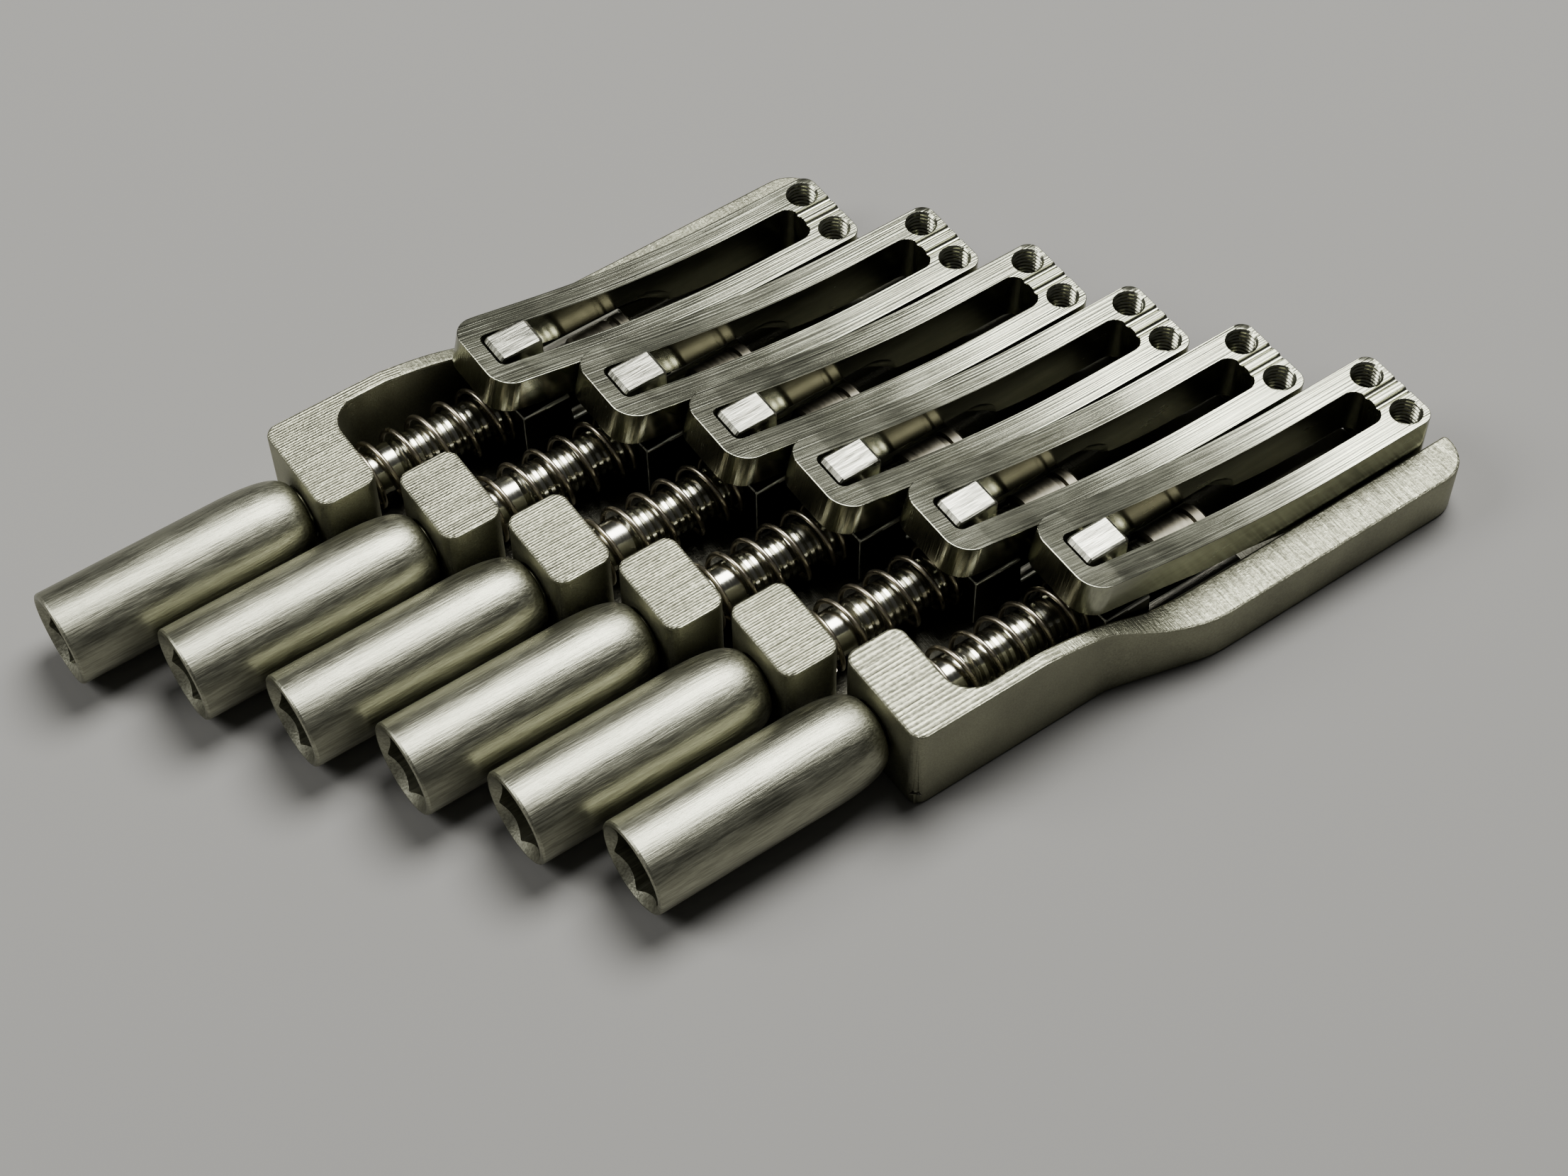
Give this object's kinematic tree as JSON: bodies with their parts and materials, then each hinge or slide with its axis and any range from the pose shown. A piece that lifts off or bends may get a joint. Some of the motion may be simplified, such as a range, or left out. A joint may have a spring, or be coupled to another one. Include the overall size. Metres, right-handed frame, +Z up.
{
  "type": "headless guitar bridge",
  "caption": "Low metal string bridge with tuning knobs behind staggered posts, spring-loaded carriages and long slotted saddles that tilt on set screws.",
  "frame": {"origin": "centre of the flat underside of the base, below the middle of the bounding box", "axes": "+X along the strings towards the nut, knobs at -X; +Y towards the bass side; +Z up from the guitar body"},
  "size_m": [0.1242, 0.0718, 0.0149],
  "materials": {
    "base_metal": "satin, fine milling marks on the level tops, blasted sides",
    "knob_metal": "brushed lengthwise",
    "saddle_metal": "brushed lengthwise with bright edges",
    "carriage_metal": "machined, dark",
    "screw_steel": "polished shank, machined thread",
    "spring_steel": "drawn wire, shiny",
    "pin_steel": "ground",
    "jaw_metal": "machined",
    "set_screw_steel": "machined thread"
  },
  "bodies": {
    "base": {"base_frame": "base_metal", "spring_1": "spring_steel", "spring_2": "spring_steel", "spring_3": "spring_steel", "spring_4": "spring_steel", "spring_5": "spring_steel", "spring_6": "spring_steel"},
    "tuner_1": {"knob_1": "knob_metal", "tuning_screw_1": "screw_steel"},
    "jaw_1": {"string_jaw_1": "jaw_metal"},
    "carriage_body_1": {"carriage_1": "carriage_metal", "pivot_pin_1": "pin_steel"},
    "saddle_body_1": {"saddle_1": "saddle_metal"},
    "height_1a": {"height_screw_1a": "set_screw_steel"},
    "height_1b": {"height_screw_1b": "set_screw_steel"},
    "tuner_2": {"knob_2": "knob_metal", "tuning_screw_2": "screw_steel"},
    "jaw_2": {"string_jaw_2": "jaw_metal"},
    "carriage_body_2": {"carriage_2": "carriage_metal", "pivot_pin_2": "pin_steel"},
    "saddle_body_2": {"saddle_2": "saddle_metal"},
    "height_2a": {"height_screw_2a": "set_screw_steel"},
    "height_2b": {"height_screw_2b": "set_screw_steel"},
    "tuner_3": {"knob_3": "knob_metal", "tuning_screw_3": "screw_steel"},
    "jaw_3": {"string_jaw_3": "jaw_metal"},
    "carriage_body_3": {"carriage_3": "carriage_metal", "pivot_pin_3": "pin_steel"},
    "saddle_body_3": {"saddle_3": "saddle_metal"},
    "height_3a": {"height_screw_3a": "set_screw_steel"},
    "height_3b": {"height_screw_3b": "set_screw_steel"},
    "tuner_4": {"knob_4": "knob_metal", "tuning_screw_4": "screw_steel"},
    "jaw_4": {"string_jaw_4": "jaw_metal"},
    "carriage_body_4": {"carriage_4": "carriage_metal", "pivot_pin_4": "pin_steel"},
    "saddle_body_4": {"saddle_4": "saddle_metal"},
    "height_4a": {"height_screw_4a": "set_screw_steel"},
    "height_4b": {"height_screw_4b": "set_screw_steel"},
    "tuner_5": {"knob_5": "knob_metal", "tuning_screw_5": "screw_steel"},
    "jaw_5": {"string_jaw_5": "jaw_metal"},
    "carriage_body_5": {"carriage_5": "carriage_metal", "pivot_pin_5": "pin_steel"},
    "saddle_body_5": {"saddle_5": "saddle_metal"},
    "height_5a": {"height_screw_5a": "set_screw_steel"},
    "height_5b": {"height_screw_5b": "set_screw_steel"},
    "tuner_6": {"knob_6": "knob_metal", "tuning_screw_6": "screw_steel"},
    "jaw_6": {"string_jaw_6": "jaw_metal"},
    "carriage_body_6": {"carriage_6": "carriage_metal", "pivot_pin_6": "pin_steel"},
    "saddle_body_6": {"saddle_6": "saddle_metal"},
    "height_6a": {"height_screw_6a": "set_screw_steel"},
    "height_6b": {"height_screw_6b": "set_screw_steel"}
  },
  "joints": [
    {"name": "tuner_1_turn", "type": "hinge", "parent": "base", "child": "tuner_1", "pos_m": [-0.0353, 0.02625, 0.00566], "axis": [1, 0, 0], "range_deg": [-720, 1080]},
    {"name": "jaw_1_slide", "type": "slide", "parent": "base", "child": "jaw_1", "axis": [-1, 0, 0], "range_m": [-0.0017, 0.0025]},
    {"name": "carriage_1_slide", "type": "slide", "parent": "base", "child": "carriage_body_1", "axis": [1, 0, 0], "range_m": [-0.0015, 0.0015], "deforming": ["spring_1"]},
    {"name": "saddle_1_tilt", "type": "hinge", "parent": "carriage_body_1", "child": "saddle_body_1", "pos_m": [-0.0098, 0.02625, 0.012], "axis": [0, -1, 0], "range_deg": [-2, 3]},
    {"name": "height_1a_slide", "type": "slide", "parent": "saddle_body_1", "child": "height_1a", "axis": [0, 0, -1], "range_m": [-0.0014, 0.002]},
    {"name": "height_1b_slide", "type": "slide", "parent": "saddle_body_1", "child": "height_1b", "axis": [0, 0, -1], "range_m": [-0.0014, 0.002]},
    {"name": "tuner_2_turn", "type": "hinge", "parent": "base", "child": "tuner_2", "pos_m": [-0.0276, 0.01575, 0.00566], "axis": [1, 0, 0], "range_deg": [-720, 1080]},
    {"name": "jaw_2_slide", "type": "slide", "parent": "base", "child": "jaw_2", "axis": [-1, 0, 0], "range_m": [-0.0017, 0.0025]},
    {"name": "carriage_2_slide", "type": "slide", "parent": "base", "child": "carriage_body_2", "axis": [1, 0, 0], "range_m": [-0.0015, 0.0015], "deforming": ["spring_2"]},
    {"name": "saddle_2_tilt", "type": "hinge", "parent": "carriage_body_2", "child": "saddle_body_2", "pos_m": [-0.0021, 0.01575, 0.012], "axis": [0, -1, 0], "range_deg": [-2, 3]},
    {"name": "height_2a_slide", "type": "slide", "parent": "saddle_body_2", "child": "height_2a", "axis": [0, 0, -1], "range_m": [-0.0014, 0.002]},
    {"name": "height_2b_slide", "type": "slide", "parent": "saddle_body_2", "child": "height_2b", "axis": [0, 0, -1], "range_m": [-0.0014, 0.002]},
    {"name": "tuner_3_turn", "type": "hinge", "parent": "base", "child": "tuner_3", "pos_m": [-0.0218, 0.00525, 0.00566], "axis": [1, 0, 0], "range_deg": [-720, 1080]},
    {"name": "jaw_3_slide", "type": "slide", "parent": "base", "child": "jaw_3", "axis": [-1, 0, 0], "range_m": [-0.0017, 0.0025]},
    {"name": "carriage_3_slide", "type": "slide", "parent": "base", "child": "carriage_body_3", "axis": [1, 0, 0], "range_m": [-0.0015, 0.0015], "deforming": ["spring_3"]},
    {"name": "saddle_3_tilt", "type": "hinge", "parent": "carriage_body_3", "child": "saddle_body_3", "pos_m": [0.0037, 0.00525, 0.012], "axis": [0, -1, 0], "range_deg": [-2, 3]},
    {"name": "height_3a_slide", "type": "slide", "parent": "saddle_body_3", "child": "height_3a", "axis": [0, 0, -1], "range_m": [-0.0014, 0.002]},
    {"name": "height_3b_slide", "type": "slide", "parent": "saddle_body_3", "child": "height_3b", "axis": [0, 0, -1], "range_m": [-0.0014, 0.002]},
    {"name": "tuner_4_turn", "type": "hinge", "parent": "base", "child": "tuner_4", "pos_m": [-0.0161, -0.00525, 0.00566], "axis": [1, 0, 0], "range_deg": [-720, 1080]},
    {"name": "jaw_4_slide", "type": "slide", "parent": "base", "child": "jaw_4", "axis": [-1, 0, 0], "range_m": [-0.0017, 0.0025]},
    {"name": "carriage_4_slide", "type": "slide", "parent": "base", "child": "carriage_body_4", "axis": [1, 0, 0], "range_m": [-0.0015, 0.0015], "deforming": ["spring_4"]},
    {"name": "saddle_4_tilt", "type": "hinge", "parent": "carriage_body_4", "child": "saddle_body_4", "pos_m": [0.0085, -0.00525, 0.012], "axis": [0, -1, 0], "range_deg": [-2, 3]},
    {"name": "height_4a_slide", "type": "slide", "parent": "saddle_body_4", "child": "height_4a", "axis": [0, 0, -1], "range_m": [-0.0014, 0.002]},
    {"name": "height_4b_slide", "type": "slide", "parent": "saddle_body_4", "child": "height_4b", "axis": [0, 0, -1], "range_m": [-0.0014, 0.002]},
    {"name": "tuner_5_turn", "type": "hinge", "parent": "base", "child": "tuner_5", "pos_m": [-0.0104, -0.01575, 0.00566], "axis": [1, 0, 0], "range_deg": [-720, 1080]},
    {"name": "jaw_5_slide", "type": "slide", "parent": "base", "child": "jaw_5", "axis": [-1, 0, 0], "range_m": [-0.0017, 0.0025]},
    {"name": "carriage_5_slide", "type": "slide", "parent": "base", "child": "carriage_body_5", "axis": [1, 0, 0], "range_m": [-0.0015, 0.0015], "deforming": ["spring_5"]},
    {"name": "saddle_5_tilt", "type": "hinge", "parent": "carriage_body_5", "child": "saddle_body_5", "pos_m": [0.0145, -0.01575, 0.012], "axis": [0, -1, 0], "range_deg": [-2, 3]},
    {"name": "height_5a_slide", "type": "slide", "parent": "saddle_body_5", "child": "height_5a", "axis": [0, 0, -1], "range_m": [-0.0014, 0.002]},
    {"name": "height_5b_slide", "type": "slide", "parent": "saddle_body_5", "child": "height_5b", "axis": [0, 0, -1], "range_m": [-0.0014, 0.002]},
    {"name": "tuner_6_turn", "type": "hinge", "parent": "base", "child": "tuner_6", "pos_m": [-0.0046, -0.02625, 0.00566], "axis": [1, 0, 0], "range_deg": [-720, 1080]},
    {"name": "jaw_6_slide", "type": "slide", "parent": "base", "child": "jaw_6", "axis": [-1, 0, 0], "range_m": [-0.0017, 0.0025]},
    {"name": "carriage_6_slide", "type": "slide", "parent": "base", "child": "carriage_body_6", "axis": [1, 0, 0], "range_m": [-0.0015, 0.0015], "deforming": ["spring_6"]},
    {"name": "saddle_6_tilt", "type": "hinge", "parent": "carriage_body_6", "child": "saddle_body_6", "pos_m": [0.0218, -0.02625, 0.012], "axis": [0, -1, 0], "range_deg": [-2, 3]},
    {"name": "height_6a_slide", "type": "slide", "parent": "saddle_body_6", "child": "height_6a", "axis": [0, 0, -1], "range_m": [-0.0014, 0.002]},
    {"name": "height_6b_slide", "type": "slide", "parent": "saddle_body_6", "child": "height_6b", "axis": [0, 0, -1], "range_m": [-0.0014, 0.002]}
  ],
  "couplings": [
    {"joint": "jaw_1_slide", "follows": "tuner_1_turn", "m_per_rad": 0.00012732},
    {"joint": "height_1a_slide", "follows": "saddle_1_tilt", "m_per_rad": 0.03635},
    {"joint": "height_1b_slide", "follows": "saddle_1_tilt", "m_per_rad": 0.03635},
    {"joint": "jaw_2_slide", "follows": "tuner_2_turn", "m_per_rad": 0.00012732},
    {"joint": "height_2a_slide", "follows": "saddle_2_tilt", "m_per_rad": 0.03635},
    {"joint": "height_2b_slide", "follows": "saddle_2_tilt", "m_per_rad": 0.03635},
    {"joint": "jaw_3_slide", "follows": "tuner_3_turn", "m_per_rad": 0.00012732},
    {"joint": "height_3a_slide", "follows": "saddle_3_tilt", "m_per_rad": 0.03635},
    {"joint": "height_3b_slide", "follows": "saddle_3_tilt", "m_per_rad": 0.03635},
    {"joint": "jaw_4_slide", "follows": "tuner_4_turn", "m_per_rad": 0.00012732},
    {"joint": "height_4a_slide", "follows": "saddle_4_tilt", "m_per_rad": 0.03635},
    {"joint": "height_4b_slide", "follows": "saddle_4_tilt", "m_per_rad": 0.03635},
    {"joint": "jaw_5_slide", "follows": "tuner_5_turn", "m_per_rad": 0.00012732},
    {"joint": "height_5a_slide", "follows": "saddle_5_tilt", "m_per_rad": 0.03635},
    {"joint": "height_5b_slide", "follows": "saddle_5_tilt", "m_per_rad": 0.03635},
    {"joint": "jaw_6_slide", "follows": "tuner_6_turn", "m_per_rad": 0.00012732},
    {"joint": "height_6a_slide", "follows": "saddle_6_tilt", "m_per_rad": 0.03635},
    {"joint": "height_6b_slide", "follows": "saddle_6_tilt", "m_per_rad": 0.03635}
  ]
}
